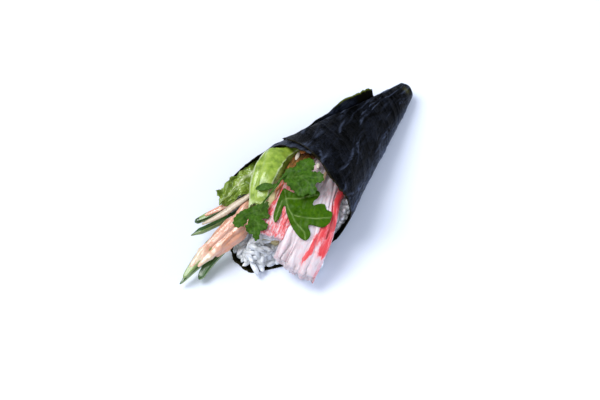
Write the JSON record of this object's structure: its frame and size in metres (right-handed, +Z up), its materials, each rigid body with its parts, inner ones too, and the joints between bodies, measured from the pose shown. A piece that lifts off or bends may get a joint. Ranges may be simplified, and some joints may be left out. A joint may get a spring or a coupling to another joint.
{
  "type": "temaki hand roll",
  "caption": "Cone-shaped seaweed hand roll lying on its side, with rice, crab sticks, cucumber, avocado, lettuce, sauce and herbs showing at its open mouth.",
  "frame": {"origin": "on the flat strip along the seaweed's underside, where the roll rests", "axes": "+X runs along the roll towards its closed tip, +Z is up, and the open mouth faces -X"},
  "size_m": [0.1623, 0.0655, 0.0404],
  "materials": {
    "nori": "dark dried seaweed, slightly glossy and crinkled",
    "rice": "moist cooked grains, slightly translucent",
    "crab_stick": "moist white strands with red streaks",
    "avocado": "soft, yellow to olive",
    "lettuce": "ruffled leaf, pale yellow-green",
    "sauce": "glossy peach-coloured spiced mayonnaise",
    "cucumber": "pale wet flesh with dark green skin",
    "herb": "thin fresh leaf, mid green"
  },
  "bodies": {
    "root": {"nori": "nori", "rice": "rice", "crab_stick_long": "crab_stick", "crab_stick_short": "crab_stick", "avocado_slice": "avocado", "lettuce_roll": "lettuce", "lettuce_frill": "lettuce", "sauce": "sauce", "cucumber_1": "cucumber", "cucumber_2": "cucumber", "cucumber_3": "cucumber", "cucumber_4": "cucumber", "cucumber_5": "cucumber", "rocket_leaf": "herb", "coriander_leaf_upper": "herb", "coriander_leaf_lower": "herb"}
  },
  "joints": []
}
